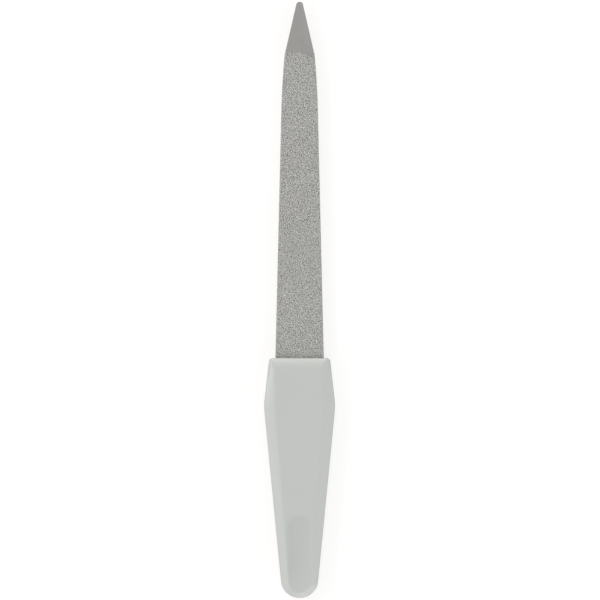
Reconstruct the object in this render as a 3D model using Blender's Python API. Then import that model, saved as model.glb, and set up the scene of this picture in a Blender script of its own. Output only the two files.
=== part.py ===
"""Sapphire nail file: a grit-coated steel blade with a plastic handle moulded round its tang.

Units are metres and +Z is up. The file lies on the back of its handle, front face up, with its
tip along +Y. The world origin is under the middle of its length, on the surface that it lies on.
Every piece is modelled from the handle's mouth: y is 0 where the blade leaves the handle, and
z is 0 half-way through the steel. One empty carries them all to their place in the world.
"""

import math

import bmesh
import bpy
from mathutils import Vector

# The exposed steel, from the handle's mouth to the tip
EXPOSED_LENGTH = 0.0896
STEEL_THICKNESS = 0.0010
TIP_RADIUS = 0.00088
POINT_LENGTH = 0.0125
POINT_WIDTH = 0.00716
SHOULDER_LENGTH = 0.0140
SHOULDER_WIDTH = 0.00896
MOUTH_STEEL_WIDTH = 0.0120
POINT_EDGE_BREAK = 0.00012

# The steel inside the handle
ROOT_ENTRY = 0.0040
TANG_WIDTH = 0.0075
TANG_CORNER = 0.0015
TANG_TO_DISH = 0.0030
ANCHOR_HOLE_RADIUS = 0.0015
ANCHOR_HOLES = 2

# The two grit coats, which wrap the edges of the steel and meet half-way through it
FRONT_COAT = 0.00020
BACK_COAT = 0.00014
EDGE_COAT = 0.00010
BARE_MARGIN = 0.0005
COAT_ENTRY = 0.0015

# The handle's outline
HANDLE_LENGTH = 0.0603
SIDE_WALL = 0.00155
MOUTH_CORNER_RADIUS = 0.0010
KINK_FROM_MOUTH = 0.0120
KINK_FLARE = 0.00135
KINK_RADIUS = 0.014
END_RADIUS = 0.00472

# The handle's thickness and the slopes round its two faces
HANDLE_THICKNESS = 0.0052
EDGE_HEIGHT = 0.0031
EDGE_ROUNDING = 0.00035
MOUTH_SLOPE_LENGTH = 0.0044
BEVEL_AT_MOUTH = 0.0030
BEVEL_AT_KINK = 0.0033
BEVEL_AT_END = 0.0023
CREASE_RISE = 0.0012
BEVEL_STRAIGHT_SHARE = 0.7
BEVEL_CROWN = 0.25
CORNER_SIDE_SHARE = 0.3

# The dish in the front of the handle, for pushing back cuticles
DISH_LENGTH = 0.0212
DISH_WIDTH = 0.0063
DISH_END_WIDTH = 0.0056
DISH_DEPTH = 0.00055
DISH_END_DEPTH = 0.0001
DISH_ENTRY_LENGTH = 0.0070
DISH_EXIT_LENGTH = 0.0120

# The room that the moulding leaves round the steel and its coats
SOCKET_GAP = 0.0001

# How far a cutter runs past the surface that it cuts
OVERRUN = 0.0010

# Points nearer than this are one point
SAME_POINT = 1e-7

# How many straight steps stand for each curve
TIP_STEPS = 6
SHOULDER_STEPS = 8
CORNER_STEPS = 5
KINK_STEPS = 4
END_STEPS = 10
SIDE_STEPS = 4
MOUTH_STEPS = 4
SLOPE_STEPS = 6
DISH_ARCH_STEPS = 7
DISH_SIDE_STEPS = 9
DISH_SECTION_STEPS = 12
ROUND_SIDES = 32

# How far round the dish's arch its first section lies, in steps of that arch
DISH_FIRST_STEP = 0.2

# Faces that meet at less than this are shaded as one curve
SMOOTH_ANGLE = math.radians(30)

# Places that follow from the sizes
POINT_Y = EXPOSED_LENGTH - POINT_LENGTH
COAT_START_Y = POINT_Y - BARE_MARGIN
SHOULDER_Y = POINT_Y - SHOULDER_LENGTH
COAT_END_Y = -COAT_ENTRY
DISH_APEX_Y = DISH_LENGTH - HANDLE_LENGTH
TANG_END_Y = DISH_APEX_Y + TANG_TO_DISH
FRONT_Z = HANDLE_THICKNESS / 2
MOUTH_HALF_WIDTH = MOUTH_STEEL_WIDTH / 2 + EDGE_COAT + SIDE_WALL
KINK_HALF_WIDTH = MOUTH_HALF_WIDTH + KINK_FLARE


def steel_half_width(y):
    """Half the steel's width behind the point: a straight taper, then a curve in to the point."""
    slope = (MOUTH_STEEL_WIDTH - SHOULDER_WIDTH) / 2 / SHOULDER_Y
    on_taper = SHOULDER_WIDTH / 2 + slope * (SHOULDER_Y - y)
    if y <= SHOULDER_Y:
        return on_taper
    missing = SHOULDER_WIDTH / 2 - slope * SHOULDER_LENGTH - POINT_WIDTH / 2
    return on_taper - missing * ((y - SHOULDER_Y) / SHOULDER_LENGTH) ** 2


def coated_stations():
    """The y of each cross-section where steel and grit share their corners, from tip to tang."""
    step = (COAT_START_Y - SHOULDER_Y) / SHOULDER_STEPS
    curve = [COAT_START_Y - step * index for index in range(SHOULDER_STEPS)]
    return curve + [SHOULDER_Y, COAT_END_Y]


def arc(centre, radius, start, end, steps):
    """Points on a circle from one angle to another, both ends included."""
    angles = [start + (end - start) * index / steps for index in range(steps + 1)]
    return [centre + radius * Vector((math.cos(angle), math.sin(angle))) for angle in angles]


def touching_angle(centre, radius, point, turn):
    """Where a straight line from the point touches the circle, to the left (1) or right (-1)."""
    away = point - centre
    return math.atan2(away.y, away.x) + turn * math.acos(radius / away.length)


def fillet(before, corner, after, radius, steps):
    """Points that round a corner of an outline, tangent to both of its sides."""
    back = (before - corner).normalized()
    onward = (after - corner).normalized()
    half_angle = back.angle(onward) / 2
    centre = corner + (back + onward).normalized() * radius / math.sin(half_angle)
    first = corner + back * radius / math.tan(half_angle) - centre
    last = corner + onward * radius / math.tan(half_angle) - centre
    start = math.atan2(first.y, first.x)
    return arc(centre, radius, start, start - last.angle(first), steps)


def between(first, last, steps):
    """The points that split a straight line into equal steps, without its two ends."""
    return [first.lerp(last, index / steps) for index in range(1, steps)]


def mirrored(side):
    """A closed outline from its right-hand side, whose ends may lie on the middle line."""
    left = [Vector((-point.x, point.y)) for point in reversed(side) if point.x > SAME_POINT]
    return side + left


def build_object(name, bm, material, parent):
    """Closes the bmesh into an object with smooth curves and crisp corners."""
    bmesh.ops.recalc_face_normals(bm, faces=bm.faces)
    mesh = bpy.data.meshes.new(name)
    bm.to_mesh(mesh)
    bm.free()
    mesh.shade_smooth()
    mesh.set_sharp_from_angle(angle=SMOOTH_ANGLE)
    if material:
        mesh.materials.append(material)
    piece = bpy.data.objects.new(name, mesh)
    bpy.context.scene.collection.objects.link(piece)
    piece.parent = parent
    return piece


def make_cutter(piece):
    """Marks an object as a helper that shapes others and isn't part of the file."""
    piece.hide_render = True
    piece.display_type = "WIRE"
    return piece


def cut(piece, cutter):
    """Takes the cutter's space out of the piece."""
    boolean = piece.modifiers.new(cutter.name, "BOOLEAN")
    boolean.operation = "DIFFERENCE"
    boolean.solver = "EXACT"
    boolean.object = cutter


def round_marked_edges(piece, width, segments):
    """Rounds the edges that carry a bevel weight."""
    bevel = piece.modifiers.new("rounded_edges", "BEVEL")
    bevel.limit_method = "WEIGHT"
    bevel.width = width
    bevel.segments = segments


def mark_edges(bm, wanted):
    """Gives a bevel weight to each edge that the test wants rounded."""
    weight = bm.edges.layers.float.new("bevel_weight_edge")
    for edge in bm.edges:
        if wanted(edge):
            edge[weight] = 1.0


def plate(outline, low, high):
    """A flat plate: the outline filled at one height and extruded to the other."""
    bm = bmesh.new()
    face = bm.faces.new([bm.verts.new((point.x, point.y, low)) for point in outline])
    extruded = bmesh.ops.extrude_face_region(bm, geom=[face])["geom"]
    top = [item for item in extruded if isinstance(item, bmesh.types.BMVert)]
    bmesh.ops.translate(bm, verts=top, vec=(0, 0, high - low))
    return bm


def box(half_width, y_low, y_high, z_low, z_high):
    """A plate with a rectangular outline, centred on the middle line."""
    side = [Vector((half_width, y_high)), Vector((half_width, y_low))]
    return plate(mirrored(side), z_low, z_high)


def loft(rings):
    """Faces between neighbouring rings of as many points, each ring a closed loop."""
    bm = bmesh.new()
    loops = [[bm.verts.new(point) for point in ring] for ring in rings]
    for lower, upper in zip(loops, loops[1:]):
        for index in range(len(lower)):
            after = (index + 1) % len(lower)
            bm.faces.new((lower[index], lower[after], upper[after], upper[index]))
    return bm, loops


def close_ends(bm):
    """Merges points that fell together and fills the open ends."""
    bmesh.ops.remove_doubles(bm, verts=bm.verts, dist=SAME_POINT)
    open_edges = [edge for edge in bm.edges if edge.is_boundary]
    bmesh.ops.holes_fill(bm, edges=open_edges)


def make_material(name, colour, roughness, metallic):
    """A Principled material; the colour is linear."""
    material = bpy.data.materials.new(name)
    material.use_nodes = True
    shader = material.node_tree.nodes["Principled BSDF"]
    shader.inputs["Base Color"].default_value = (*colour, 1.0)
    shader.inputs["Roughness"].default_value = roughness
    shader.inputs["Metallic"].default_value = metallic
    return material


def tang_side(gap):
    """The right-hand side of the steel inside the handle, grown by the gap."""
    root = steel_half_width(-ROOT_ENTRY) + gap
    half = TANG_WIDTH / 2 + gap
    shoulder_y = -ROOT_ENTRY - gap
    end_y = TANG_END_Y - gap
    return [
        Vector((root, shoulder_y)),
        Vector((half, shoulder_y)),
        Vector((half, end_y + TANG_CORNER)),
        Vector((half - TANG_CORNER, end_y)),
    ]


def anchor_pins(name, radius, parent):
    """Round cutters at the tang's anchor holes, which share the tang's length evenly."""
    spacing = (-ROOT_ENTRY - TANG_END_Y) / (ANCHOR_HOLES + 1)
    pins = []
    for index in range(ANCHOR_HOLES):
        bm = bmesh.new()
        depth = STEEL_THICKNESS + 2 * OVERRUN
        bmesh.ops.create_cone(
            bm, cap_ends=True, segments=ROUND_SIDES, radius1=radius, radius2=radius, depth=depth
        )
        pin = make_cutter(build_object(f"{name}_{index + 1}", bm, None, parent))
        pin.location.y = -ROOT_ENTRY - spacing * (index + 1)
        pins.append(pin)
    return pins


def make_blade(parent):
    """The stamped steel strip, from its ground point to the end of its tang."""
    centre = Vector((0, EXPOSED_LENGTH - TIP_RADIUS))
    corner = Vector((POINT_WIDTH / 2, POINT_Y))
    touching = touching_angle(centre, TIP_RADIUS, corner, 1)
    side = arc(centre, TIP_RADIUS, math.pi / 2, touching, TIP_STEPS)
    side.append(corner)
    side += [Vector((steel_half_width(y), y)) for y in coated_stations()]
    side += tang_side(0)
    bm = plate(mirrored(side), -STEEL_THICKNESS / 2, STEEL_THICKNESS / 2)

    def on_the_point(edge):
        """True for the long edges of the bare point, which are broken."""
        first, last = edge.verts
        flat = abs(first.co.z - last.co.z) < SAME_POINT
        return flat and min(first.co.y, last.co.y) > COAT_START_Y + SAME_POINT

    mark_edges(bm, on_the_point)
    steel = make_material("steel", (0.33, 0.32, 0.31), 0.35, 1.0)
    blade = build_object("blade", bm, steel, parent)
    round_marked_edges(blade, POINT_EDGE_BREAK, 1)
    for pin in anchor_pins("anchor_hole", ANCHOR_HOLE_RADIUS, parent):
        cut(blade, pin)


def make_coat(name, thickness, side, material, parent):
    """One grit coat: a channel over a face of the steel and half of each edge; side is 1 or -1."""
    rings = []
    for y in coated_stations():
        half = steel_half_width(y)
        face = STEEL_THICKNESS / 2
        channel = [
            (half + EDGE_COAT, 0),
            (half + EDGE_COAT, face + thickness),
            (-half - EDGE_COAT, face + thickness),
            (-half - EDGE_COAT, 0),
            (-half, 0),
            (-half, face),
            (half, face),
            (half, 0),
        ]
        rings.append([(x, y, side * z) for x, z in channel])
    bm, loops = loft(rings)
    for a, b, c, d, e, f, g, h in (loops[0], loops[-1]):
        bm.faces.new((a, b, g, h))
        bm.faces.new((b, c, f, g))
        bm.faces.new((c, d, e, f))
    build_object(name, bm, material, parent)


def handle_rays():
    """Half of the handle's edge, from the mouth's middle round to the end's middle.

    Each ray is a point of the outline, the point of the flat face that belongs to it, and how
    far the slope between them has turned from the mouth's (0) into the sides' (1).
    """
    mouth = Vector((MOUTH_HALF_WIDTH, 0))
    kink = Vector((KINK_HALF_WIDTH, -KINK_FROM_MOUTH))
    end_centre = Vector((0, END_RADIUS - HANDLE_LENGTH))
    end_angle = touching_angle(end_centre, END_RADIUS, kink, -1)
    end_arc = arc(end_centre, END_RADIUS, end_angle, -math.pi / 2, END_STEPS)
    corner_arc = fillet(Vector((0, 0)), mouth, kink, MOUTH_CORNER_RADIUS, CORNER_STEPS)
    kink_arc = fillet(mouth, kink, end_arc[0], KINK_RADIUS, KINK_STEPS)

    flare = (KINK_HALF_WIDTH - MOUTH_HALF_WIDTH) / KINK_FROM_MOUTH
    flat_corner_x = MOUTH_HALF_WIDTH + flare * MOUTH_SLOPE_LENGTH - BEVEL_AT_MOUTH
    flat_corner = Vector((flat_corner_x, -MOUTH_SLOPE_LENGTH))
    flat_kink = Vector((KINK_HALF_WIDTH - BEVEL_AT_KINK, CREASE_RISE - KINK_FROM_MOUTH))
    flat_radius = END_RADIUS - BEVEL_AT_END
    flat_angle = touching_angle(end_centre, flat_radius, flat_kink, -1)
    flat_arc = arc(end_centre, flat_radius, flat_angle, -math.pi / 2, END_STEPS)

    rays = []
    for index in range(MOUTH_STEPS):
        across = index / MOUTH_STEPS
        inner = Vector((flat_corner.x * across, flat_corner.y))
        rays.append((Vector((corner_arc[0].x * across, 0)), inner, 0))
    for index, outer in enumerate(corner_arc):
        rays.append((outer, flat_corner, CORNER_SIDE_SHARE * index / CORNER_STEPS))
    stretches = (
        (corner_arc[-1], kink_arc[0], flat_corner, flat_kink),
        (kink_arc[-1], end_arc[0], flat_kink, flat_arc[0]),
    )
    upper, lower = (
        list(zip(between(a, b, SIDE_STEPS), between(c, d, SIDE_STEPS)))
        for a, b, c, d in stretches
    )
    for index, (outer, inner) in enumerate(upper, 1):
        side_share = CORNER_SIDE_SHARE + (1 - CORNER_SIDE_SHARE) * index / SIDE_STEPS
        rays.append((outer, inner, side_share))
    along = [(outer, flat_kink) for outer in kink_arc] + lower + list(zip(end_arc, flat_arc))
    rays += [(outer, inner, 1) for outer, inner in along]
    return rays


def slope_height(inward, side_share):
    """How far the surface has risen, 0 to 1, this share of the way in from the outline.

    The mouth rolls over. The sides are bevels with a slight crown and a rounded inner crease.
    """
    left = 1 - inward
    at_mouth = 1 - left**3
    curve = 1 / (1 - BEVEL_STRAIGHT_SHARE**2)
    bevel = 1 - curve * left**2
    if inward < BEVEL_STRAIGHT_SHARE:
        bevel = 2 * curve * (1 - BEVEL_STRAIGHT_SHARE) * inward
    at_side = bevel + BEVEL_CROWN * (1 - left**2 - bevel)
    return at_mouth + (at_side - at_mouth) * side_share


def handle_ring(rays, inward, side):
    """One loop round the handle, this share of the way from its outline to its flat face."""
    edge = EDGE_HEIGHT / 2
    right = []
    for outer, inner, side_share in rays:
        point = outer.lerp(inner, inward)
        z = edge + (FRONT_Z - edge) * slope_height(inward, side_share)
        right.append(Vector((point.x, point.y, side * z)))
    left = [Vector((-p.x, p.y, p.z)) for p in reversed(right[1:-1])]
    return right + left


def dish_depth(y):
    """How far the dish's middle lies under the flat face: steep at first, then level, then rising."""
    into = max(0, 1 - (DISH_APEX_Y - y) / DISH_ENTRY_LENGTH)
    out = min(1, max(0, 1 - (y + HANDLE_LENGTH) / DISH_EXIT_LENGTH))
    return DISH_DEPTH * (1 - into**3) - (DISH_DEPTH - DISH_END_DEPTH) * out**2


def dish_cutter(parent):
    """The body that hollows the dish: round-bottomed sections from the arch out past the end."""
    arch = DISH_WIDTH / 2
    spring_y = DISH_APEX_Y - arch
    plan = []
    for index in range(DISH_ARCH_STEPS):
        angle = math.pi / 2 * (1 - (index + DISH_FIRST_STEP) / DISH_ARCH_STEPS)
        plan.append((spring_y + arch * math.sin(angle), arch * math.cos(angle)))
    for index in range(DISH_SIDE_STEPS + 1):
        down = index / DISH_SIDE_STEPS
        half = arch + (DISH_END_WIDTH / 2 - arch) * down
        plan.append((spring_y - (spring_y + HANDLE_LENGTH) * down, half))
    plan.append((-HANDLE_LENGTH - OVERRUN, DISH_END_WIDTH / 2))
    rings = []
    for y, half in plan:
        depth = dish_depth(y)
        radius = (half**2 + depth**2) / (2 * depth)
        ring = [(half, y, FRONT_Z + OVERRUN), (-half, y, FRONT_Z + OVERRUN)]
        for step in range(DISH_SECTION_STEPS + 1):
            x = half * (2 * step / DISH_SECTION_STEPS - 1)
            drop = math.sqrt(radius**2 - x**2) - (radius - depth)
            ring.append((x, y, FRONT_Z - drop))
        rings.append(ring)
    bm, _ = loft(rings)
    close_ends(bm)
    return make_cutter(build_object("dish_cutter", bm, None, parent))


def socket_cutters(parent):
    """The space that the moulding leaves for the steel, and for its coats at the mouth."""
    side = [Vector((steel_half_width(0) + SOCKET_GAP, OVERRUN))] + tang_side(SOCKET_GAP)
    half = STEEL_THICKNESS / 2 + SOCKET_GAP
    steel = make_cutter(
        build_object("steel_socket", plate(mirrored(side), -half, half), None, parent)
    )
    for pin in anchor_pins("anchor_post", ANCHOR_HOLE_RADIUS - SOCKET_GAP, parent):
        cut(steel, pin)
    pocket = box(
        steel_half_width(COAT_END_Y) + EDGE_COAT + SOCKET_GAP,
        COAT_END_Y - SOCKET_GAP,
        OVERRUN,
        -half - BACK_COAT,
        half + FRONT_COAT,
    )
    mouth = make_cutter(build_object("mouth_pocket", pocket, None, parent))
    return [steel, mouth]


def make_handle(parent):
    """The one-piece moulding, alike front and back but for the dish in its front."""
    rays = handle_rays()
    inward_steps = [index / SLOPE_STEPS for index in range(SLOPE_STEPS + 1)]
    rings = [handle_ring(rays, inward, -1) for inward in reversed(inward_steps)]
    rings += [handle_ring(rays, inward, 1) for inward in inward_steps]
    bm, loops = loft(rings)
    edge_verts = set(loops[SLOPE_STEPS] + loops[SLOPE_STEPS + 1])

    def on_the_edge(edge):
        """True where a slope meets the upright edge of the handle."""
        first, last = edge.verts
        level = abs(first.co.z - last.co.z) < SAME_POINT
        return level and first in edge_verts and last in edge_verts

    mark_edges(bm, on_the_edge)
    close_ends(bm)
    plastic = make_material("moulded_plastic", (0.56, 0.58, 0.56), 0.38, 0.0)
    handle = build_object("handle", bm, plastic, parent)
    round_marked_edges(handle, EDGE_ROUNDING, 2)
    for cutter in socket_cutters(parent) + [dish_cutter(parent)]:
        cut(handle, cutter)


def main():
    """Clears the scene and builds the file."""
    for old in list(bpy.data.objects):
        bpy.data.objects.remove(old, do_unlink=True)
    mouth = bpy.data.objects.new("handle_mouth", None)
    bpy.context.scene.collection.objects.link(mouth)
    mouth.location = (0, (HANDLE_LENGTH - EXPOSED_LENGTH) / 2, FRONT_Z)
    make_blade(mouth)
    coarse = make_material("coarse_grit", (0.38, 0.38, 0.36), 0.6, 0.4)
    fine = make_material("fine_grit", (0.42, 0.42, 0.40), 0.5, 0.4)
    make_coat("front_abrasive", FRONT_COAT, 1, coarse, mouth)
    make_coat("back_abrasive", BACK_COAT, -1, fine, mouth)
    make_handle(mouth)


main()
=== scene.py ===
"""Sapphire nail file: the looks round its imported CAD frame.

Units are metres. The main sizes repeat those of the CAD source, to which this script adds the
crystals, the parting line and finer roundings. Its gap round the steel is 0.02 mm smaller. As
there, every shape is worked out from the handle's mouth: y is 0 where the blade leaves the handle
and grows towards the tip, and z is 0 half-way through the steel. make_piece moves each finished
mesh to where the CAD has it.
"""

import math
from collections import namedtuple

import bmesh
import bpy
import numpy as np
from mathutils import Matrix, Vector
from mathutils.geometry import delaunay_2d_cdt


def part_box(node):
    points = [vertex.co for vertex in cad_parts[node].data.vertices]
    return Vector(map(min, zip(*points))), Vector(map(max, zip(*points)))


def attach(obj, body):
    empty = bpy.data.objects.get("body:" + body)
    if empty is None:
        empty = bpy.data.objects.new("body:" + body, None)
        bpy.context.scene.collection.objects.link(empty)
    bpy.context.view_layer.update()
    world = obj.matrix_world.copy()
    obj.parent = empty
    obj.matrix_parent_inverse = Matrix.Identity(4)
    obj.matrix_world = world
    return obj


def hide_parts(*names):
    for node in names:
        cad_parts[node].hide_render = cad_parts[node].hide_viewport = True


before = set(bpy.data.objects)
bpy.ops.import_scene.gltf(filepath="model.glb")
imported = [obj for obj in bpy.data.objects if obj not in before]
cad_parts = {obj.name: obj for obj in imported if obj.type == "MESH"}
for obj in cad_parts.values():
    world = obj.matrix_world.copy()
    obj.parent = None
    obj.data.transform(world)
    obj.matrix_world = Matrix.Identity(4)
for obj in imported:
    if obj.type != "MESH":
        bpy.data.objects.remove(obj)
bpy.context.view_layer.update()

MM = 0.001
TINY = 1e-7

# The exposed steel
EXPOSED_LENGTH = 0.0896
STEEL_THICKNESS = 0.0010
TIP_RADIUS = 0.00088
POINT_LENGTH = 0.0125
POINT_WIDTH = 0.00716
SHOULDER_LENGTH = 0.0140
SHOULDER_WIDTH = 0.00896
MOUTH_STEEL_WIDTH = 0.0120
POINT_EDGE_BREAK = 0.00012

# The steel inside the handle
ROOT_ENTRY = 0.0040
TANG_WIDTH = 0.0075
TANG_CORNER = 0.0015
TANG_TO_DISH = 0.0030
ANCHOR_HOLE_RADIUS = 0.0015
ANCHOR_HOLES = 2

# The grit coats
FRONT_COAT = 0.00020
BACK_COAT = 0.00014
EDGE_COAT = 0.00010
BARE_MARGIN = 0.0005
COAT_ENTRY = 0.0015
COAT_CORNER_RADIUS = 0.00028

# How much of the crystals' relief is left where a coat turns over an edge, and the turn in
# radians over which it fades to that
CORNER_RELIEF_SHARE = 0.35
CORNER_RELIEF_TURN = 0.5

# The two kinds of grit. Tops and gaps are heights against the coat's outside, steepest is the
# slope of the most tilted top, missing is the share of places that hold no crystal, the colours
# are the bond's and the darkest and lightest crystal's, and flecks is how many waves to the metre
# the flecks of bond on the crystals have.
Grit = namedtuple("Grit", "pitch corners tops gaps steepest missing bond dark light flecks")
COARSE_GRIT = Grit(
    pitch=0.19 * MM,
    corners=3,
    tops=(-0.070 * MM, -0.030 * MM),
    gaps=(-0.130 * MM, -0.100 * MM),
    steepest=0.42,
    missing=0.22,
    bond=(0.167, 0.166, 0.163),
    dark=(0.262, 0.266, 0.261),
    light=(0.455, 0.462, 0.460),
    flecks=16000,
)
FINE_GRIT = Grit(
    pitch=0.13 * MM,
    corners=1,
    tops=(-0.060 * MM, -0.005 * MM),
    gaps=(-0.080 * MM, -0.060 * MM),
    steepest=0,
    missing=0.1,
    bond=(0.24, 0.235, 0.225),
    dark=(0.30, 0.30, 0.28),
    light=(0.58, 0.58, 0.55),
    flecks=26000,
)

# The crystals' scatter and reach and the border's step and margin, as shares of the pitch; the
# corners' scatter is a share of the angle between them
CENTRE_SCATTER = 0.2
CORNER_SCATTER = 0.16
CRYSTAL_REACH = (0.26, 0.5)
BORDER_STEP = 0.55
BORDER_MARGIN = 0.25

# How deep a coat's first row and its deepest gaps lie, as shares of its thickness
START_DEPTH = 0.75
DEEPEST = 0.85

# The tone and gloss of faces between crystals, and the painted shade on a crystal's flanks: their
# tone as a share of its top's
BOND_TONE = -1.0
BOND_GLOSS = 0.7
FLANK_SHADE = 0.8

# Where the grit begins, in millimetres: its lead, each wave's height, rate and phase, and how
# the front's grit falls away towards the right
FRONT_LEAD = 0.18
FRONT_WAVES = ((0.05, 2.3, 1), (0.04, 5.1, 0))
BACK_LEAD = 0.05
BACK_WAVES = ((0.06, 1.9, 0), (0.03, 4.7, 2))
FALL_FROM = 0.9
FALL_WIDTH = 2.6
FALL_DEPTH = 1.3
FALL_POWER = 1.2

# The handle's outline
HANDLE_LENGTH = 0.0603
SIDE_WALL = 0.00155
MOUTH_CORNER_RADIUS = 0.0010
KINK_FROM_MOUTH = 0.0120
KINK_FLARE = 0.00135
KINK_RADIUS = 0.014
END_RADIUS = 0.00472

# The handle's thickness and the slopes round its two faces
HANDLE_THICKNESS = 0.0052
EDGE_HEIGHT = 0.0031
EDGE_ROUNDING = 0.00035
MOUTH_ROUNDING = 0.00015
MOUTH_SLOPE_LENGTH = 0.0044
BEVEL_AT_MOUTH = 0.0030
BEVEL_AT_KINK = 0.0033
BEVEL_AT_END = 0.0023
CREASE_RISE = 0.0012
BEVEL_STRAIGHT_SHARE = 0.7
BEVEL_CROWN = 0.25
CORNER_SIDE_SHARE = 0.3
FLAT_CORNER_RADIUS = 0.0015

# The line that the two halves of the mould leave round the handle's edge; its foot is this many
# times as wide as its crest
PARTING_LINE_RISE = 0.00003
PARTING_LINE_HALF_WIDTH = 0.00004
PARTING_LINE_FOOT = 2.5

# The dish in the front of the handle
DISH_LENGTH = 0.0212
DISH_WIDTH = 0.0063
DISH_END_WIDTH = 0.0056
DISH_DEPTH = 0.00055
DISH_END_DEPTH = 0.0001
DISH_ENTRY_LENGTH = 0.0070
DISH_EXIT_LENGTH = 0.0120
DISH_RIM_ROUNDING = 0.00014
# The painted shade in the dish fades out over this distance from the handle's end
DISH_PAINTED_SHADE_FADE = 0.0080
DISH_APEX_CUT = 0.00002

# The points that fill the flat face over the dish
GRID_STEP = 0.13 * MM
GRID_HALF_WIDTH = 3.6 * MM
GRID_PAST_DISH = 1.6 * MM
GRID_TO_BORDER = 0.05 * MM

# The room round the steel in the handle, and how far the tools that cut it stick out
SOCKET_GAP = 0.00008
SOCKET_OVERRUN = 0.0010
PIN_LENGTH = 0.0030

# How many steps the curves and slopes have
PIN_SIDES = 64
TIP_STEPS = 24
TAPER_STEPS = 24
FOLD_STEPS = 90
FILLET_STEPS = 16
MOUTH_STEPS = 40
FLARE_STEPS = 36
SIDE_STEPS = 150
END_STEPS = 72
SLOPE_RINGS = 30
ROUNDING_RINGS = 6

# Colours in linear light; where there are two, the tone drifts between them
PLASTIC_TONES = ((0.510, 0.549, 0.563), (0.526, 0.557, 0.567))
# Painted shade: the plastic's darker colour in the dish's hollow
DISH_PAINTED_SHADE = (0.487, 0.520, 0.525)
SPECK_TONE = (0.30, 0.31, 0.28)
STEEL_TONES = ((0.283, 0.277, 0.271), (0.298, 0.292, 0.285))

# Gloss, the finest relief, and which levels of noise count as none and as all
PLASTIC_IOR = 1.55
PLASTIC_ROUGHNESS = (0.30, 0.37)
SCRATCH_ROUGHNESS = 0.08
STEEL_ROUGHNESS = (0.29, 0.38)
CRYSTAL_ROUGHNESS = (0.22, 0.6)
GRIT_METAL_SHARE = 0.55
FLECK_SHARE = 0.22
CHIPS_PER_FLECK = 1.6
MOULD_GRAIN_HEIGHT = 0.0000035
SCRATCH_DEPTH = 0.0000006
GRINDING_HEIGHT = 0.0000012
CHIP_HEIGHT = 0.000008
CLOUD_LEVELS = (0.3, 0.7)
SCRATCH_LEVELS = (0.62, 0.66)
GRINDING_LEVELS = (0.35, 0.65)

# The specks in the plastic: cells to the metre, how far from its middle a speck is full and
# gone, the chance number of a cell up to which it has no speck and from which it has a whole
# one, and a whole speck's strength
SPECK_CELLS = 520
SPECK_REACH = (0.02, 0.05)
SPECK_PICK = (0.86, 0.9)
SPECK_STRENGTH = 0.55

# The photograph: a pixel's size on the file, its width in pixels, how many pixels its middle lies
# right of and above the file's, the lens and sensor in millimetres, and where the view starts
PIXEL = 0.0002515
PHOTO_PIXELS = 600
PHOTO_SHIFT = (0.4, -0.25)
LENS = 200
SENSOR = 36
VIEW_START = 0.01

# The stage. The floor's glow grows from its middle outwards over the two distances of GLOW_FADE.
AMBIENT = 0.12
FLOOR_HALF_SIZE = 3
FLOOR_DROP = 0.00002
FLOOR_BOUNCE = 0.8
FLOOR_SHADE = 0.28
FLOOR_GLOW = 0.77
GLOW_FADE = (0.6, 1.6)

# The softboxes: name, azimuth from the tip towards the left, elevation, size, power and colour
LAMP_DISTANCE = 0.9
LAMPS = (
    ("tip_side", 12, 25, 0.7, 5.15, (1.0, 0.95, 0.87)),
    ("tip_high", 0, 58, 0.3, 0.38, (1.0, 0.92, 0.80)),
    ("left_up", 79, 35, 0.4, 2.05, (1.0, 0.97, 0.92)),
    ("left", 92, 44, 0.38, 0.5, (1.0, 0.88, 0.76)),
    ("left_end", 125, 30, 0.5, 1.55, (1.0, 0.97, 0.88)),
    ("end_side", -176, 24, 0.6, 2.3, (1.0, 1.0, 1.0)),
    ("end_right", -140, 28, 0.5, 1.95, (1.0, 0.94, 0.87)),
    ("right", -112, 30, 0.6, 1.3, (1.0, 0.96, 0.88)),
    ("right_up", -70, 34, 0.5, 1.05, (0.9, 0.97, 1.0)),
)

# Places that follow from the sizes
POINT_Y = EXPOSED_LENGTH - POINT_LENGTH
COAT_START_Y = POINT_Y - BARE_MARGIN
SHOULDER_Y = POINT_Y - SHOULDER_LENGTH
COAT_END_Y = -COAT_ENTRY
DISH_APEX_Y = DISH_LENGTH - HANDLE_LENGTH
TANG_END_Y = DISH_APEX_Y + TANG_TO_DISH
FRONT_Z = HANDLE_THICKNESS / 2
MOUTH_HALF_WIDTH = MOUTH_STEEL_WIDTH / 2 + EDGE_COAT + SIDE_WALL
KINK_HALF_WIDTH = MOUTH_HALF_WIDTH + KINK_FLARE

handle_low, handle_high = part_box("handle")
MOUTH = Vector((0, handle_high.y, (handle_low.z + handle_high.z) / 2))


def add(tree, kind, inputs=None, **settings):
    """A node with its settings, its inputs set to values or linked to other nodes' sockets."""
    node = tree.nodes.new(kind)
    for key, value in settings.items():
        setattr(node, key, value)
    for key, value in (inputs or {}).items():
        if isinstance(value, bpy.types.NodeSocket):
            tree.links.new(value, node.inputs[key])
        else:
            node.inputs[key].default_value = value
    return node


def new_object(name, data):
    """An object in the scene with this mesh, lamp or camera."""
    made = bpy.data.objects.new(name, data)
    bpy.context.scene.collection.objects.link(made)
    return made


def new_material(name):
    """A new node material, its node tree and its Principled shader."""
    material = bpy.data.materials.new(name)
    material.use_nodes = True
    tree = material.node_tree
    return material, tree, tree.nodes["Principled BSDF"]


def link(tree, source, target):
    """Joins two sockets."""
    tree.links.new(source, target)


def attribute(tree, name):
    """A number that the mesh holds for each face or point."""
    return add(tree, "ShaderNodeAttribute", attribute_name=name).outputs["Fac"]


def calculate(tree, operation, *values):
    """The result of a Math node on plain numbers or sockets."""
    return add(tree, "ShaderNodeMath", dict(enumerate(values)), operation=operation).outputs[0]


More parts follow.
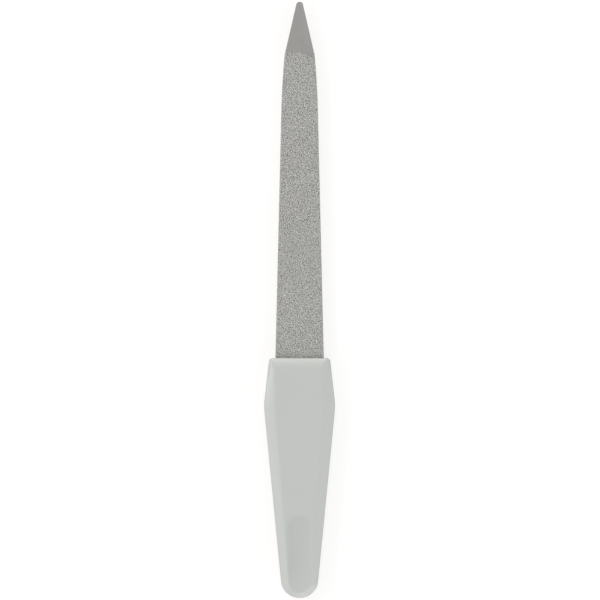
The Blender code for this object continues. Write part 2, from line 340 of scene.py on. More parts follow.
def spread(tree, value, source, target):
    """A socket's value, mapped from one range to another and held inside it."""
    keys = ("Value", "From Min", "From Max", "To Min", "To Max")
    inputs = dict(zip(keys, (value, *source, *target)))
    return add(tree, "ShaderNodeMapRange", inputs).outputs["Result"]


def blend_colours(tree, factor, first, second):
    """A mix of two colours by a socket's value; each colour is a plain triple or a socket."""
    node = add(tree, "ShaderNodeMix", data_type="RGBA")
    for index, value in ((0, factor), (6, first), (7, second)):
        if isinstance(value, bpy.types.NodeSocket):
            link(tree, value, node.inputs[index])
        else:
            node.inputs[index].default_value = (*value, 1.0)
    return node.outputs[2]


def stretched(tree, scale=(1, 1, 1)):
    """Object coordinates in metres, stretched by a scale for each axis."""
    place = add(tree, "ShaderNodeTexCoord").outputs["Object"]
    return add(tree, "ShaderNodeMapping", {"Vector": place, "Scale": scale}).outputs["Vector"]


def noise(tree, rate, detail, stretch=(1, 1, 1)):
    """Noise with this many waves to the metre."""
    inputs = {"Vector": stretched(tree, stretch), "Scale": rate, "Detail": detail}
    return add(tree, "ShaderNodeTexNoise", inputs).outputs["Fac"]


def clouds(tree, rate, detail, target=(0, 1)):
    """Noise that reaches both ends of a range in places."""
    return spread(tree, noise(tree, rate, detail), CLOUD_LEVELS, target)


def bump(tree, height, distance, below=None):
    """A bump of this height in metres, over another one if given."""
    inputs = {"Height": height, "Distance": distance}
    if below:
        inputs["Normal"] = below
    return add(tree, "ShaderNodeBump", inputs).outputs["Normal"]


def plastic_material():
    """Satin white moulded plastic with a fine mould grain, faint handling scratches and specks, and
    painted shade in the dish's hollow.
    """
    material, tree, shader = new_material("moulded_plastic")
    colour = blend_colours(tree, clouds(tree, rate=90, detail=3), *PLASTIC_TONES)
    # Painted shade: the plastic turns darker in the dish's hollow, by each point's share from the
    # mesh
    colour = blend_colours(tree, attribute(tree, "dish_shade"), colour, DISH_PAINTED_SHADE)
    inputs = {"Vector": stretched(tree), "Scale": SPECK_CELLS}
    cells = add(tree, "ShaderNodeTexVoronoi", inputs).outputs
    near = spread(tree, cells["Distance"], SPECK_REACH, (1, 0))
    chance = add(tree, "ShaderNodeSeparateColor", {"Color": cells["Color"]}).outputs[0]
    few = spread(tree, chance, SPECK_PICK, (0, SPECK_STRENGTH))
    colour = blend_colours(tree, calculate(tree, "MULTIPLY", near, few), colour, SPECK_TONE)
    link(tree, colour, shader.inputs["Base Color"])
    scratches = noise(tree, rate=900, detail=4, stretch=(6, 0.5, 6))
    scratched = spread(tree, scratches, SCRATCH_LEVELS, (0, 1))
    smudges = clouds(tree, rate=240, detail=3, target=PLASTIC_ROUGHNESS)
    roughness = calculate(tree, "MULTIPLY_ADD", scratched, SCRATCH_ROUGHNESS, smudges)
    link(tree, roughness, shader.inputs["Roughness"])
    grain = bump(tree, noise(tree, rate=7000, detail=3), MOULD_GRAIN_HEIGHT)
    link(tree, bump(tree, scratched, -SCRATCH_DEPTH, grain), shader.inputs["Normal"])
    shader.inputs["IOR"].default_value = PLASTIC_IOR
    return material


def steel_material():
    """Satin steel, ground lengthwise, a little darker in patches."""
    material, tree, shader = new_material("steel")
    colour = blend_colours(tree, clouds(tree, rate=350, detail=4), *STEEL_TONES)
    link(tree, colour, shader.inputs["Base Color"])
    lines = noise(tree, rate=2600, detail=4, stretch=(4, 0.12, 4))
    roughness = spread(tree, lines, GRINDING_LEVELS, STEEL_ROUGHNESS)
    link(tree, roughness, shader.inputs["Roughness"])
    link(tree, bump(tree, lines, GRINDING_HEIGHT), shader.inputs["Normal"])
    shader.inputs["Metallic"].default_value = 1.0
    return material


def grit_material(name, grit):
    """Crushed crystals in a metallic bond; each crystal has its own tone and gloss, with painted
    shade on its flanks.
    """
    material, tree, shader = new_material(name)
    # The tone carries the painted shade on the crystals' flanks
    tone = attribute(tree, "crystal_tone_and_shade")
    crystal = blend_colours(tree, tone, grit.dark, grit.light)
    is_bond = spread(tree, tone, (0.9 * BOND_TONE, 0.8 * BOND_TONE), (1, 0))
    colour = blend_colours(tree, is_bond, crystal, grit.bond)
    flecks = clouds(tree, grit.flecks, detail=3, target=(0, FLECK_SHARE))
    link(tree, blend_colours(tree, flecks, colour, grit.bond), shader.inputs["Base Color"])
    roughness = spread(tree, attribute(tree, "crystal_gloss"), (0, 1), CRYSTAL_ROUGHNESS)
    link(tree, roughness, shader.inputs["Roughness"])
    chips = noise(tree, grit.flecks * CHIPS_PER_FLECK, detail=3)
    link(tree, bump(tree, chips, CHIP_HEIGHT), shader.inputs["Normal"])
    shader.inputs["Metallic"].default_value = GRIT_METAL_SHARE
    return material


def make_piece(name, mesh, material, node):
    """A piece from a mesh made round the handle's mouth, put where the CAD has it."""
    mesh.transform(Matrix.Translation(MOUTH))
    mesh.materials.append(material)
    piece = new_object(name, mesh)
    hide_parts(node)
    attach(piece, "root")
    return piece


def mesh_from(bm):
    """A mesh from a bmesh, which is freed."""
    mesh = bpy.data.meshes.new("shape")
    bm.to_mesh(mesh)
    bm.free()
    return mesh


def helper(bm):
    """A hidden object at the handle's mouth that shapes another piece."""
    body = new_object("helper", mesh_from(bm))
    body.location = MOUTH
    body.hide_render = True
    return body


def remove_operands(piece):
    """Removes a piece's modifiers and the hidden helpers that they use."""
    for modifier in list(piece.modifiers):
        operand = getattr(modifier, "object", None)
        piece.modifiers.remove(modifier)
        if operand:
            remove_operands(operand)
            bpy.data.objects.remove(operand)


def settle(piece, sharp_degrees):
    """Makes the piece's modifiers part of its mesh, smooth but for sharp edges and flat faces."""
    bpy.context.view_layer.update()
    evaluated = piece.evaluated_get(bpy.context.evaluated_depsgraph_get())
    mesh = bpy.data.meshes.new_from_object(evaluated)
    remove_operands(piece)
    piece.data = mesh
    mesh.shade_smooth()
    mesh.set_sharp_from_angle(angle=math.radians(sharp_degrees))
    piece.modifiers.new("flat_faces", "WEIGHTED_NORMAL").keep_sharp = True


def cut(piece, cutter):
    """Takes the cutter's space out of the piece."""
    boolean = piece.modifiers.new("cut", "BOOLEAN")
    boolean.operation = "DIFFERENCE"
    boolean.solver = "EXACT"
    boolean.object = cutter


def plate(outline, low, high):
    """A flat plate: the outline filled at one height and extruded to the other."""
    bm = bmesh.new()
    face = bm.faces.new([bm.verts.new((point.x, point.y, low)) for point in outline])
    extruded = bmesh.ops.extrude_face_region(bm, geom=[face])["geom"]
    top = [item for item in extruded if isinstance(item, bmesh.types.BMVert)]
    bmesh.ops.translate(bm, verts=top, vec=(0, 0, high - low))
    bmesh.ops.recalc_face_normals(bm, faces=bm.faces)
    return bm


def pin(radius, y):
    """A round rod through the steel's plane."""
    bm = bmesh.new()
    sizes = {"radius1": radius, "radius2": radius, "depth": PIN_LENGTH}
    bmesh.ops.create_cone(bm, cap_ends=True, segments=PIN_SIDES, **sizes)
    bmesh.ops.translate(bm, verts=bm.verts, vec=(0, y, 0))
    return helper(bm)


def arc(centre, radius, start, end, steps):
    """Points on a circle from one angle to another, both ends included."""
    angles = [start + (end - start) * index / steps for index in range(steps + 1)]
    return [centre + radius * Vector((math.cos(angle), math.sin(angle))) for angle in angles]


def touching_angle(centre, radius, point, turn):
    """Where a straight line from the point touches the circle, to the left (1) or right (-1)."""
    away = point - centre
    return math.atan2(away.y, away.x) + turn * math.acos(radius / away.length)


def fillet(before, corner, after, radius):
    """Points that round a corner of an outline, tangent to both of its sides."""
    back = (before - corner).normalized()
    onward = (after - corner).normalized()
    half_angle = back.angle(onward) / 2
    centre = corner + (back + onward).normalized() * radius / math.sin(half_angle)
    first = corner + back * radius / math.tan(half_angle) - centre
    last = corner + onward * radius / math.tan(half_angle) - centre
    start = math.atan2(first.y, first.x)
    return arc(centre, radius, start, start - last.angle(first), FILLET_STEPS)


def between(first, last, steps):
    """The points that split a straight line into equal steps, without its two ends."""
    return [first.lerp(last, index / steps) for index in range(1, steps)]


def mirrored(side):
    """A closed outline from its right-hand side, whose ends may lie on the middle line."""
    left = [Vector((-point.x, point.y)) for point in reversed(side) if point.x > TINY]
    return side + left


def closed_line(count):
    """The edges of a closed line through the first so many points."""
    return [(index, (index + 1) % count) for index in range(count)]


def triangulate(points, lines):
    """Triangles over flat points in metres, inside the closed lines drawn between them."""
    flat = [Vector((x / MM, y / MM)) for x, y in points]
    result = delaunay_2d_cdt(flat, lines, [], 1, TINY)
    origins = [origin[0] for origin in result[3]]
    return [[origins[corner] for corner in face] for face in result[2]]


def facing(faces, points, side):
    """Flat triangles turned to face up (1) or down (-1)."""
    turned = []
    for a, b, c in faces:
        (ax, ay), (bx, by), (cx, cy) = points[a], points[b], points[c]
        area = (bx - ax) * (cy - ay) - (cx - ax) * (by - ay)
        turned.append((a, b, c) if area * side > 0 else (a, c, b))
    return turned


def steel_half_width(y):
    """Half the steel's width behind the point: a straight taper, then a curve in to the point."""
    slope = (MOUTH_STEEL_WIDTH - SHOULDER_WIDTH) / 2 / SHOULDER_Y
    on_taper = SHOULDER_WIDTH / 2 + slope * (SHOULDER_Y - y)
    missing = SHOULDER_WIDTH / 2 - slope * SHOULDER_LENGTH - POINT_WIDTH / 2
    return on_taper - missing * (np.clip(y - SHOULDER_Y, 0, None) / SHOULDER_LENGTH) ** 2


def tang_side(gap):
    """The right-hand side of the steel inside the handle, grown by the gap."""
    root = steel_half_width(-ROOT_ENTRY) + gap
    half = TANG_WIDTH / 2 + gap
    shoulder_y = -ROOT_ENTRY - gap
    end_y = TANG_END_Y - gap
    return [
        Vector((root, shoulder_y)),
        Vector((half, shoulder_y)),
        Vector((half, end_y + TANG_CORNER)),
        Vector((half - TANG_CORNER, end_y)),
    ]


def anchor_places():
    """The y of each hole in the tang that the plastic flows through."""
    spacing = (-ROOT_ENTRY - TANG_END_Y) / (ANCHOR_HOLES + 1)
    return [-ROOT_ENTRY - spacing * (index + 1) for index in range(ANCHOR_HOLES)]


def make_blade():
    """The steel strip, with a finely rounded tip and broken edges on its bare point."""
    centre = Vector((0, EXPOSED_LENGTH - TIP_RADIUS))
    corner = Vector((POINT_WIDTH / 2, POINT_Y))
    touching = touching_angle(centre, TIP_RADIUS, corner, 1)
    side = arc(centre, TIP_RADIUS, math.pi / 2, touching, TIP_STEPS)
    side.append(corner)
    taper = np.linspace(COAT_START_Y, SHOULDER_Y, TAPER_STEPS)
    side += [Vector((steel_half_width(y), y)) for y in taper]
    side += tang_side(0)
    bm = plate(mirrored(side), -STEEL_THICKNESS / 2, STEEL_THICKNESS / 2)
    weight = bm.edges.layers.float.new("bevel_weight_edge")
    for edge in bm.edges:
        level = abs(edge.verts[0].co.z - edge.verts[1].co.z) < TINY
        if level and min(vert.co.y for vert in edge.verts) > SHOULDER_Y:
            edge[weight] = 1.0
    blade = make_piece("steel_blade", mesh_from(bm), steel_material(), "blade")
    bevel = blade.modifiers.new("broken_edges", "BEVEL")
    bevel.limit_method = "WEIGHT"
    bevel.width = POINT_EDGE_BREAK
    bevel.segments = 4
    for y in anchor_places():
        cut(blade, pin(ANCHOR_HOLE_RADIUS, y))
    settle(blade, sharp_degrees=40)


def wrap(s, y, lift, thickness):
    """Points on a coat's outside: s runs over the face and down the rounded edges."""
    half = steel_half_width(y) + EDGE_COAT
    top = STEEL_THICKNESS / 2 + thickness
    level = half - COAT_CORNER_RADIUS
    along = np.abs(s)
    turn = np.clip((along - level) / COAT_CORNER_RADIUS, 0, math.pi / 2)
    down = np.clip(along - level - COAT_CORNER_RADIUS * math.pi / 2, 0, None)
    round_corner = np.clip(turn / CORNER_RELIEF_TURN, 0, 1)
    radius = COAT_CORNER_RADIUS + lift * (1 - (1 - CORNER_RELIEF_SHARE) * round_corner)
    x = np.where(along < level, along, level + radius * np.sin(turn))
    z = top - COAT_CORNER_RADIUS + radius * np.cos(turn) - down
    return np.column_stack((np.sign(s) * x, y, z))


def wrap_reach(y, thickness):
    """How far s runs to each side, to half-way down the edge, and where the corner's middle is."""
    level = steel_half_width(y) + EDGE_COAT - COAT_CORNER_RADIUS
    down = STEEL_THICKNESS / 2 + thickness - COAT_CORNER_RADIUS
    bend = COAT_CORNER_RADIUS * math.pi / 2
    return level + bend + down, level + bend / 2


def against_steel(s, y, thickness):
    """Points on a coat's inside, which lies on the steel, under those on its outside."""
    reach, corner = wrap_reach(y, thickness)
    half = steel_half_width(y)
    along = np.abs(s)
    past = np.clip((along - corner) / (reach - corner), 0, 1)
    x = np.where(along < corner, along * half / corner, half)
    return np.column_stack((np.sign(s) * x, y, STEEL_THICKNESS / 2 * (1 - past)))


def waves(s, parts):
    """Small waves across the blade, in millimetres."""
    return sum(height * np.sin(s / MM * rate + phase) for height, rate, phase in parts)


def front_edge(s):
    """Where the front's grit begins: nearly straight, but it falls away towards the right edge."""
    fall = np.clip((s / MM - FALL_FROM) / FALL_WIDTH, 0, 1) ** FALL_POWER
    return COAT_START_Y + (FRONT_LEAD - FALL_DEPTH * fall + waves(s, FRONT_WAVES)) * MM


def back_edge(s):
    """Where the back's grit begins, nearly straight."""
    return COAT_START_Y + (BACK_LEAD + waves(s, BACK_WAVES)) * MM


def snap(values, corner):
    """Moves the value nearest to each of a coat's two corners onto it."""
    for place in (-corner, corner):
        values[np.abs(values - place).argmin()] = place


def coat_border(thickness, step, edge_of_grit, rng):
    """The coat's closed border on its unfolded face.

    With it come the side and the first and last point of each corner that the coat is folded
    over, and which points lie where the grit begins.
    """
    low_reach, low_corner = wrap_reach(COAT_END_Y, thickness)
    right_y = float(edge_of_grit(np.array([low_reach]))[0])
    left_y = float(edge_of_grit(np.array([-low_reach]))[0])
    bottom = np.linspace(-low_reach, low_reach, int(2 * low_reach / step))
    snap(bottom, low_corner)
    points = [(s, COAT_END_Y) for s in bottom]
    right = np.linspace(COAT_END_Y, right_y, int((right_y - COAT_END_Y) / step))[1:]
    points += [(wrap_reach(y, thickness)[0], y) for y in right]
    reach, corner = wrap_reach(right_y, thickness)
    top = np.linspace(reach, -reach, int(2 * reach / step))[1:-1]
    snap(top, corner)
    ragged = edge_of_grit(top) + rng.uniform(-0.5, 0.5, len(top)) * step
    points += list(zip(top, ragged))
    left = np.linspace(left_y, COAT_END_Y, int((left_y - COAT_END_Y) / step))[:-1]
    points += [(-wrap_reach(y, thickness)[0], y) for y in left]

    border = np.array(points)
    s, y = border.T
    corner = wrap_reach(y, thickness)[1]
    at_end = y < COAT_END_Y + TINY
    at_start = np.zeros(len(y), bool)
    first = len(bottom) + len(right)
    at_start[first : first + len(top)] = True
    folds = []
    for sign in (-1, 1):
        distance = np.abs(s - sign * corner)
        low = int(np.where(at_end, distance, np.inf).argmin())
        high = int(np.where(at_start, distance, np.inf).argmin())
        folds.append((sign, low, high))
    return border, folds, at_start


def mixed_shares(rows, columns, rng):
    """Numbers from 0 to 1 for a lattice, with one of each quarter in every block of four places."""
    down, across = math.ceil(rows / 2), math.ceil(columns / 2)
    blocks = rng.permuted(np.tile(np.arange(4), (down * across, 1)), axis=1)
    quarters = blocks.reshape(down, across, 2, 2).transpose(0, 2, 1, 3)
    quarters = quarters.reshape(2 * down, 2 * across)[:rows, :columns]
    return ((quarters + rng.uniform(0, 1, (rows, columns))) / 4).ravel()


def crystal_points(grit, thickness, rng):
    """Scattered crystals, each with its corners on a tilted top; some places hold none.

    Each point comes with its lift and the crystal that owns it, or -1 for none. The crystals'
    tones come last.
    """
    pitch = grit.pitch
    reach = wrap_reach(COAT_END_Y, thickness)[0]
    rows = np.arange(COAT_END_Y, POINT_Y, pitch * math.sqrt(3) / 2)
    columns = np.arange(-reach, reach, pitch)
    s = (columns[None, :] + pitch / 2 * (np.arange(len(rows)) % 2)[:, None]).ravel()
    y = np.repeat(rows, len(columns))
    count = len(s)
    scatter = rng.uniform(-CENTRE_SCATTER, CENTRE_SCATTER, (count, 2))
    centres = np.column_stack((s, y)) + scatter * pitch
    share = mixed_shares(len(rows), len(columns), rng)
    empty = share < grit.missing
    tone = (share - grit.missing) / (1 - grit.missing)
    gap_level = rng.uniform(*grit.gaps, count)
    level = np.where(empty, gap_level, rng.uniform(*grit.tops, count))
    owner = np.where(empty, -1, np.arange(count))
    if grit.corners == 1:
        return centres, level, owner, tone
    lean = rng.uniform(0, 2 * math.pi, count)
    tilt = rng.uniform(0, grit.steepest, count)
    first = rng.uniform(0, 2 * math.pi, count)
    found, lifts = [], []
    for index in range(grit.corners):
        scatter = rng.uniform(-CORNER_SCATTER, CORNER_SCATTER, count)
        angle = first + 2 * math.pi * (index + scatter) / grit.corners
        out = pitch * rng.uniform(*CRYSTAL_REACH, count)
        away = np.column_stack((np.cos(angle), np.sin(angle))) * out[:, None]
        found.append(centres + away)
        lifts.append(level + tilt * (away[:, 0] * np.cos(lean) + away[:, 1] * np.sin(lean)))
    owners = np.tile(owner, grit.corners)
    return np.concatenate(found), np.concatenate(lifts), owners, tone


def coat_lining(border, loop, folds, thickness):
    """The points and faces of a coat's inside, which is folded over the steel's two corners."""
    flat = list(border)
    lines = list(loop)
    for sign, low, high in folds:
        ys = np.linspace(border[low, 1], border[high, 1], FOLD_STEPS)[1:-1]
        line = [low, *range(len(flat), len(flat) + len(ys)), high]
        flat += [(sign * wrap_reach(y, thickness)[1], y) for y in ys]
        lines += zip(line, line[1:])
    s, y = np.array(flat).T
    return against_steel(s, y, thickness), triangulate(flat, lines)


def paint_crystals(mesh, outer_faces, owner, tone_of, gloss_of):
    """Gives each face the tone and gloss of its crystal or of the bond, with painted shade on the
    crystals' flanks.
    """
    corner_owner = owner[np.array(outer_faces)]
    a, b, c = corner_owner.T
    crystal = np.where((a == b) | (a == c), a, np.where(b == c, b, corner_owner.max(1)))
    # Painted shade: a face whose corners lie on more than one crystal is a flank, darker than a top
    flank_shade_share = np.where((a == b) & (b == c), 1, FLANK_SHADE)
    tone = np.full(len(mesh.polygons), BOND_TONE)
    gloss = np.full(len(mesh.polygons), BOND_GLOSS)
    outer = len(outer_faces)
    tone[:outer] = np.where(crystal >= 0, tone_of[crystal] * flank_shade_share, BOND_TONE)
    gloss[:outer] = np.where(crystal >= 0, gloss_of[crystal], BOND_GLOSS)
    for key, values in (("crystal_tone_and_shade", tone), ("crystal_gloss", gloss)):
        layer = mesh.attributes.new(key, "FLOAT", "FACE")
        layer.data.foreach_set("value", values.astype(np.float32))


def make_coat(name, node, slot, side, thickness, grit, edge_of_grit, seed):
    """Crushed crystals over the steel's upper (1) or lower (-1) face and half of each edge."""
    rng = np.random.default_rng(seed)
    step = BORDER_STEP * grit.pitch
    border, folds, at_start = coat_border(thickness, step, edge_of_grit, rng)
    found, lifts, owners, tone_of = crystal_points(grit, thickness, rng)
    margin = BORDER_MARGIN * grit.pitch
    s, y = found.T
    kept = (y < edge_of_grit(s) - margin) & (y > COAT_END_Y + margin)
    kept &= np.abs(s) < wrap_reach(y, thickness)[0] - margin
    flat = np.concatenate((border, found[kept]))
    border_lift = np.where(at_start, -START_DEPTH * thickness, grit.gaps[0])
    lift = np.clip(np.concatenate((border_lift, lifts[kept])), -DEEPEST * thickness, 0)
    owner = np.concatenate((np.full(len(border), -1), owners[kept]))

    loop = closed_line(len(border))
    outside = wrap(flat[:, 0], flat[:, 1], lift, thickness)
    outer_faces = triangulate(flat, loop)
    lining, lining_faces = coat_lining(border, loop, folds, thickness)
    offset = len(flat)
    inner_faces = [[offset + corner for corner in reversed(face)] for face in lining_faces]
    walls = [[second, first, offset + first, offset + second] for first, second in loop]
    points = np.concatenate((outside, lining))
    points[:, 2] *= side
    faces = outer_faces + inner_faces + walls
    if side < 0:
        faces = [face[::-1] for face in faces]
    mesh = bpy.data.meshes.new(name)
    mesh.from_pydata(points.tolist(), [], faces)
    paint_crystals(mesh, outer_faces, owner, tone_of, rng.uniform(0, 1, len(tone_of)))
    make_piece(name, mesh, grit_material(slot, grit), node)


def handle_rays():
    """Half of the handle's edge, from the mouth's middle round to the end's middle.

    Each ray is a point of the outline, the point of the flat face that belongs to it, and how
    far the slope between them has turned from the mouth's (0) into the sides' (1).
    """
    mouth = Vector((MOUTH_HALF_WIDTH, 0))
    kink = Vector((KINK_HALF_WIDTH, -KINK_FROM_MOUTH))
    end_centre = Vector((0, END_RADIUS - HANDLE_LENGTH))
    end_angle = touching_angle(end_centre, END_RADIUS, kink, -1)
    end_arc = arc(end_centre, END_RADIUS, end_angle, -math.pi / 2, END_STEPS)
    corner_arc = fillet(Vector((0, 0)), mouth, kink, MOUTH_CORNER_RADIUS)
    kink_arc = fillet(mouth, kink, end_arc[0], KINK_RADIUS)

    flare = (KINK_HALF_WIDTH - MOUTH_HALF_WIDTH) / KINK_FROM_MOUTH
    flat_corner_x = MOUTH_HALF_WIDTH + flare * MOUTH_SLOPE_LENGTH - BEVEL_AT_MOUTH
    flat_corner = Vector((flat_corner_x, -MOUTH_SLOPE_LENGTH))
    flat_kink = Vector((KINK_HALF_WIDTH - BEVEL_AT_KINK, CREASE_RISE - KINK_FROM_MOUTH))
    flat_radius = END_RADIUS - BEVEL_AT_END
    flat_angle = touching_angle(end_centre, flat_radius, flat_kink, -1)
    flat_arc = arc(end_centre, flat_radius, flat_angle, -math.pi / 2, END_STEPS)
    above_corner = Vector((0, flat_corner.y))
    flat_corner_arc = fillet(above_corner, flat_corner, flat_kink, FLAT_CORNER_RADIUS)

    rays = []
    for index in range(MOUTH_STEPS):
        across = index / MOUTH_STEPS
        inner = Vector((flat_corner_arc[0].x * across, flat_corner.y))
        rays.append((Vector((corner_arc[0].x * across, 0)), inner, 0))
    for index, (outer, inner) in enumerate(zip(corner_arc, flat_corner_arc)):
        rays.append((outer, inner, CORNER_SIDE_SHARE * index / FILLET_STEPS))
    flare_outer = between(corner_arc[-1], kink_arc[0], FLARE_STEPS)
    flare_inner = between(flat_corner_arc[-1], flat_kink, FLARE_STEPS)
    for index, (outer, inner) in enumerate(zip(flare_outer, flare_inner), 1):
        side_share = CORNER_SIDE_SHARE + (1 - CORNER_SIDE_SHARE) * index / FLARE_STEPS
        rays.append((outer, inner, side_share))
    rays += [(outer, flat_kink, 1) for outer in kink_arc]
    side_outer = between(kink_arc[-1], end_arc[0], SIDE_STEPS)
    side_inner = between(flat_kink, flat_arc[0], SIDE_STEPS)
    rays += [(*pair, 1) for pair in zip(side_outer + end_arc, side_inner + flat_arc)]
    return rays


def slope_height(inward, side_share):
    """How far the surface has risen, 0 to 1, this share of the way in from the outline.

    The mouth rolls over. The sides are bevels with a slight crown and a rounded inner crease.
    """
    left = 1 - inward
    at_mouth = 1 - left**3
    curve = 1 / (1 - BEVEL_STRAIGHT_SHARE**2)
    straight = 2 * curve * (1 - BEVEL_STRAIGHT_SHARE) * inward
    bevel = np.where(inward < BEVEL_STRAIGHT_SHARE, straight, 1 - curve * left**2)
    at_side = bevel + BEVEL_CROWN * (1 - left**2 - bevel)
    return at_mouth + (at_side - at_mouth) * side_share


def dish_depth(y):
    """How far the dish's middle lies under the flat face: steep at first, level, then rising."""
    into = np.clip(1 - (DISH_APEX_Y - y) / DISH_ENTRY_LENGTH, 0, None)
    out = np.clip(1 - (y + HANDLE_LENGTH) / DISH_EXIT_LENGTH, 0, 1)
    return DISH_DEPTH * (1 - into**3) - (DISH_DEPTH - DISH_END_DEPTH) * out**2


def dish_surface(x, y):
    """The height of the dish's hollow, carried on past its rim as if it had none."""
    arch = DISH_WIDTH / 2
    spring_y = DISH_APEX_Y - arch
    held = np.minimum(y, DISH_APEX_Y - DISH_APEX_CUT)
    in_arch = np.sqrt(np.clip(arch**2 - (held - spring_y) ** 2, 0, None))
    side = arch + (DISH_END_WIDTH / 2 - arch) * (spring_y - held) / (spring_y + HANDLE_LENGTH)
    half = np.where(held > spring_y, in_arch, side)
    depth = dish_depth(held)
    radius = (half**2 + depth**2) / (2 * depth)
    rise = radius - np.sqrt(np.clip(radius**2 - x**2, 0, None))
    rise = np.where(np.abs(x) < radius, rise, HANDLE_THICKNESS)
    return FRONT_Z - dish_depth(y) + rise


def with_dish(points):
    """The front's points lowered into the dish, with a softly rounded rim, and each one's share of
    the dish's painted shade, which fades out towards the handle's end.
    """
    x, y, z = points.T
    lower = dish_surface(x, y)
    # Painted shade: full in the hollow past the rim's rounding, fading out near the handle's end
    dish_shade = np.clip((z - lower) / DISH_RIM_ROUNDING, 0, 1)
    dish_shade *= np.clip((y + HANDLE_LENGTH) / DISH_PAINTED_SHADE_FADE, 0, 1)
    overlap = np.clip(DISH_RIM_ROUNDING - np.abs(z - lower), 0, None)
    lowered = np.minimum(z, lower) - overlap**2 / DISH_RIM_ROUNDING / 4
    return np.column_stack((x, y, lowered)), dish_shade


def inside(points, border, margin):
    """Which points lie inside a closed border, at least about a margin from it."""
    kept = np.ones(len(points), bool)
    ahead = np.roll(border, -1, axis=0)
    for shift in ((margin, 0), (-margin, 0), (0, margin), (0, -margin)):
        x, y = (points + np.array(shift)).T
        crossings = np.zeros(len(points), int)
        for (ax, ay), (bx, by) in zip(border, ahead):
            spans = (ay > y) != (by > y)
            if ay != by:
                crossings += spans & (x < ax + (y - ay) * (bx - ax) / (by - ay))
        kept &= crossings % 2 == 1
    return kept


def dish_grid(border):
    """A fine grid of points on the flat face over the dish, inside the face's border."""
    xs = np.arange(-GRID_HALF_WIDTH, GRID_HALF_WIDTH, GRID_STEP)
    ys = np.arange(-HANDLE_LENGTH, DISH_APEX_Y + GRID_PAST_DISH, GRID_STEP)
    grid = np.stack(np.meshgrid(xs, ys), -1).reshape(-1, 2)
    return grid[inside(grid, border, GRID_TO_BORDER)]


def handle_rings():
    """Closed rings round the front half of the handle, from its flat face to its parting line."""
    outer, inner, side_share = (np.array(part) for part in zip(*handle_rays()))
    flip = np.array((-1, 1))
    outer = np.concatenate((outer, outer[-2:0:-1] * flip))
    inner = np.concatenate((inner, inner[-2:0:-1] * flip))
    side_share = np.concatenate((side_share, side_share[-2:0:-1]))
    inwards = inner - outer
    inwards /= np.linalg.norm(inwards, axis=1)[:, None]
    rim = outer + inwards * PARTING_LINE_RISE
    length = np.linalg.norm(inner - rim, axis=1)
    edge = EDGE_HEIGHT / 2
    rise = FRONT_Z - edge
    first_step = 0.001
    start = slope_height(first_step, side_share) / first_step
    angle = np.arctan(rise * start / length)
    turn = math.pi / 2 - angle
    rounding = MOUTH_ROUNDING + (EDGE_ROUNDING - MOUTH_ROUNDING) * side_share
    tangent = rounding * np.tan(turn / 2)
    share = tangent * np.cos(angle) / length

    rings = []
    for step in range(SLOPE_RINGS):
        inward = share + (1 - share) * (1 - step / (SLOPE_RINGS - 1))
        flat = rim + (inner - rim) * inward[:, None]
        rings.append(np.column_stack((flat, edge + rise * slope_height(inward, side_share))))
    for step in reversed(range(ROUNDING_RINGS)):
        bend = turn * step / ROUNDING_RINGS
        flat = rim + inwards * (rounding * (1 - np.cos(bend)))[:, None]
        rings.append(np.column_stack((flat, edge - tangent + rounding * np.sin(bend))))
    for reach, width in ((0, PARTING_LINE_FOOT), (PARTING_LINE_RISE, 1)):
        flat = rim - inwards * reach
        height = np.full(len(flat), width * PARTING_LINE_HALF_WIDTH)
        rings.append(np.column_stack((flat, height)))
    return rings


def cut_socket(handle):
    """Takes the room for the steel and its coats out of the handle, but leaves the two posts."""
    half = STEEL_THICKNESS / 2 + SOCKET_GAP
    side = [Vector((steel_half_width(0) + SOCKET_GAP, SOCKET_OVERRUN))] + tang_side(SOCKET_GAP)
    socket = helper(plate(mirrored(side), -half, half))
    for y in anchor_places():
        cut(socket, pin(ANCHOR_HOLE_RADIUS - SOCKET_GAP, y))
    width = steel_half_width(COAT_END_Y) + EDGE_COAT + SOCKET_GAP
    pocket = [Vector((width, SOCKET_OVERRUN)), Vector((width, COAT_END_Y - SOCKET_GAP))]
    cut(handle, socket)
    cut(handle, helper(plate(mirrored(pocket), -half - BACK_COAT, half + FRONT_COAT)))


def make_handle():
    """The one-piece moulding, with its parting line, its dish and the socket for the steel."""
    half_rings = handle_rings()
    rings, dish_shade = (list(part) for part in zip(*(with_dish(ring) for ring in half_rings)))
    rings += [ring * np.array((1, 1, -1)) for ring in reversed(half_rings)]
    dish_shade += [np.zeros(len(ring)) for ring in half_rings]
    points = np.concatenate(rings)
    count = len(rings[0])
    faces = []
    for level in range(len(rings) - 1):
        top, low = level * count, (level + 1) * count
        for index, after in closed_line(count):
            faces.append((top + index, top + after, low + after, low + index))

    border = rings[0][:, :2]
    grid = dish_grid(border)
    filled, filled_dish_shade = with_dish(np.column_stack((grid, np.full(len(grid), FRONT_Z))))
    dish_shade.append(filled_dish_shade)
    flat = np.concatenate((border, grid))
    lookup = [*range(count), *range(len(points), len(points) + len(grid))]
    front = facing(triangulate(flat, closed_line(count)), flat, 1)
    faces += [[lookup[corner] for corner in face] for face in front]
    last = len(points) - count
    back = facing(triangulate(border, closed_line(count)), border, -1)
    faces += [[last + corner for corner in face] for face in back]
    mesh = bpy.data.meshes.new("moulded_handle")
    mesh.from_pydata(np.concatenate((points, filled)).tolist(), [], faces)
    # Each point's share of the painted shade in the dish
    layer = mesh.attributes.new("dish_shade", "FLOAT", "POINT")
    layer.data.foreach_set("value", np.concatenate(dish_shade).astype(np.float32))
    handle = make_piece("moulded_handle", mesh, plastic_material(), "handle")
    cut_socket(handle)
    settle(handle, sharp_degrees=35)


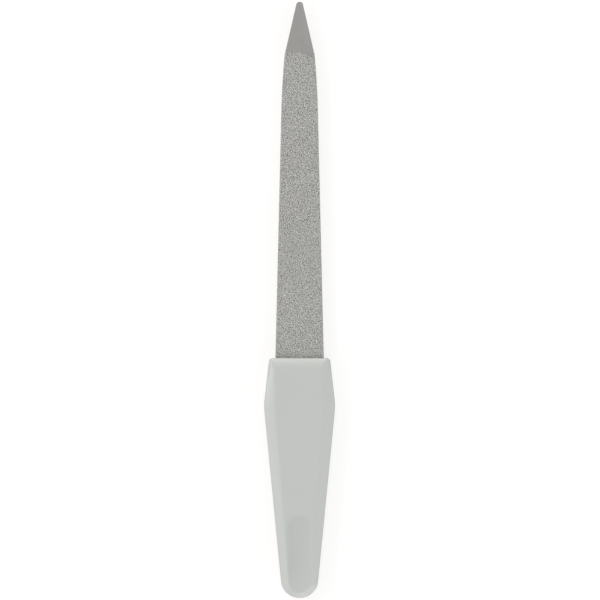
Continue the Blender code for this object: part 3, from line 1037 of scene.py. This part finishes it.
def soft_light(name, azimuth, elevation, size, power, colour):
    """A square softbox that looks at the file."""
    lamp = bpy.data.lights.new(name, "AREA")
    lamp.shape = "SQUARE"
    lamp.size = size
    lamp.energy = power
    lamp.color = colour
    holder = new_object(name, lamp)
    a, e = math.radians(azimuth), math.radians(elevation)
    towards = Vector((-math.sin(a) * math.cos(e), math.cos(a) * math.cos(e), math.sin(e)))
    holder.location = towards * LAMP_DISTANCE
    holder.rotation_mode = "QUATERNION"
    holder.rotation_quaternion = towards.to_track_quat("Z", "Y")


def shown_share(tree):
    """1 where the camera sees a surface, itself, in gloss or through glass, and otherwise 0."""
    path = add(tree, "ShaderNodeLightPath").outputs
    seen = calculate(tree, "MAXIMUM", path["Is Camera Ray"], path["Is Glossy Ray"])
    return calculate(tree, "MAXIMUM", seen, path["Is Transmission Ray"])


def make_surround():
    """A surround that looks white and sheds little light."""
    world = bpy.data.worlds.new("surround")
    bpy.context.scene.world = world
    world.use_nodes = True
    tree = world.node_tree
    background = tree.nodes["Background"]
    strength = spread(tree, shown_share(tree), (0, 1), (AMBIENT, 1.0))
    link(tree, strength, background.inputs["Strength"])
    background.inputs["Color"].default_value = (1, 1, 1, 1)


def grey_diffuse(tree, tone):
    """The output of a matt grey shader."""
    return add(tree, "ShaderNodeBsdfDiffuse", {"Color": (tone, tone, tone, 1)}).outputs[0]


def make_floor():
    """A floor that looks white and keeps a faint shadow."""
    bm = bmesh.new()
    bmesh.ops.create_grid(bm, x_segments=1, y_segments=1, size=FLOOR_HALF_SIZE)
    floor = new_object("floor", mesh_from(bm))
    floor.location.z = -FLOOR_DROP
    material, tree, shader = new_material("floor")
    tree.nodes.remove(shader)
    place = add(tree, "ShaderNodeTexCoord").outputs["Object"]
    distance = add(tree, "ShaderNodeVectorMath", {0: place}, operation="LENGTH").outputs["Value"]
    strength = spread(tree, distance, GLOW_FADE, (FLOOR_GLOW, 1.0))
    glow = add(tree, "ShaderNodeEmission", {"Strength": strength}).outputs[0]
    seen = add(tree, "ShaderNodeAddShader", {0: grey_diffuse(tree, FLOOR_SHADE), 1: glow})
    inputs = {0: shown_share(tree), 1: grey_diffuse(tree, FLOOR_BOUNCE), 2: seen.outputs[0]}
    mixed = add(tree, "ShaderNodeMixShader", inputs).outputs[0]
    link(tree, mixed, tree.nodes["Material Output"].inputs["Surface"])
    floor.data.materials.append(material)


def make_camera():
    """A long lens straight above the file, with the tip up, framed as the photograph is."""
    data = bpy.data.cameras.new("camera")
    data.lens = LENS
    data.sensor_width = SENSOR
    data.clip_start = VIEW_START
    camera = new_object("camera", data)
    across, along = PHOTO_SHIFT
    distance = PHOTO_PIXELS * PIXEL * LENS / SENSOR
    camera.location = (across * PIXEL, along * PIXEL, handle_high.z / 2 + distance)
    bpy.context.scene.camera = camera


bpy.context.scene.view_settings.view_transform = "Standard"
make_surround()
make_floor()
for lamp_values in LAMPS:
    soft_light(*lamp_values)
make_camera()
make_blade()
make_coat(
    "front_grit", "front_abrasive", "coarse_grit", 1, FRONT_COAT, COARSE_GRIT, front_edge, seed=7
)
make_coat("back_grit", "back_abrasive", "fine_grit", -1, BACK_COAT, FINE_GRIT, back_edge, seed=11)
make_handle()
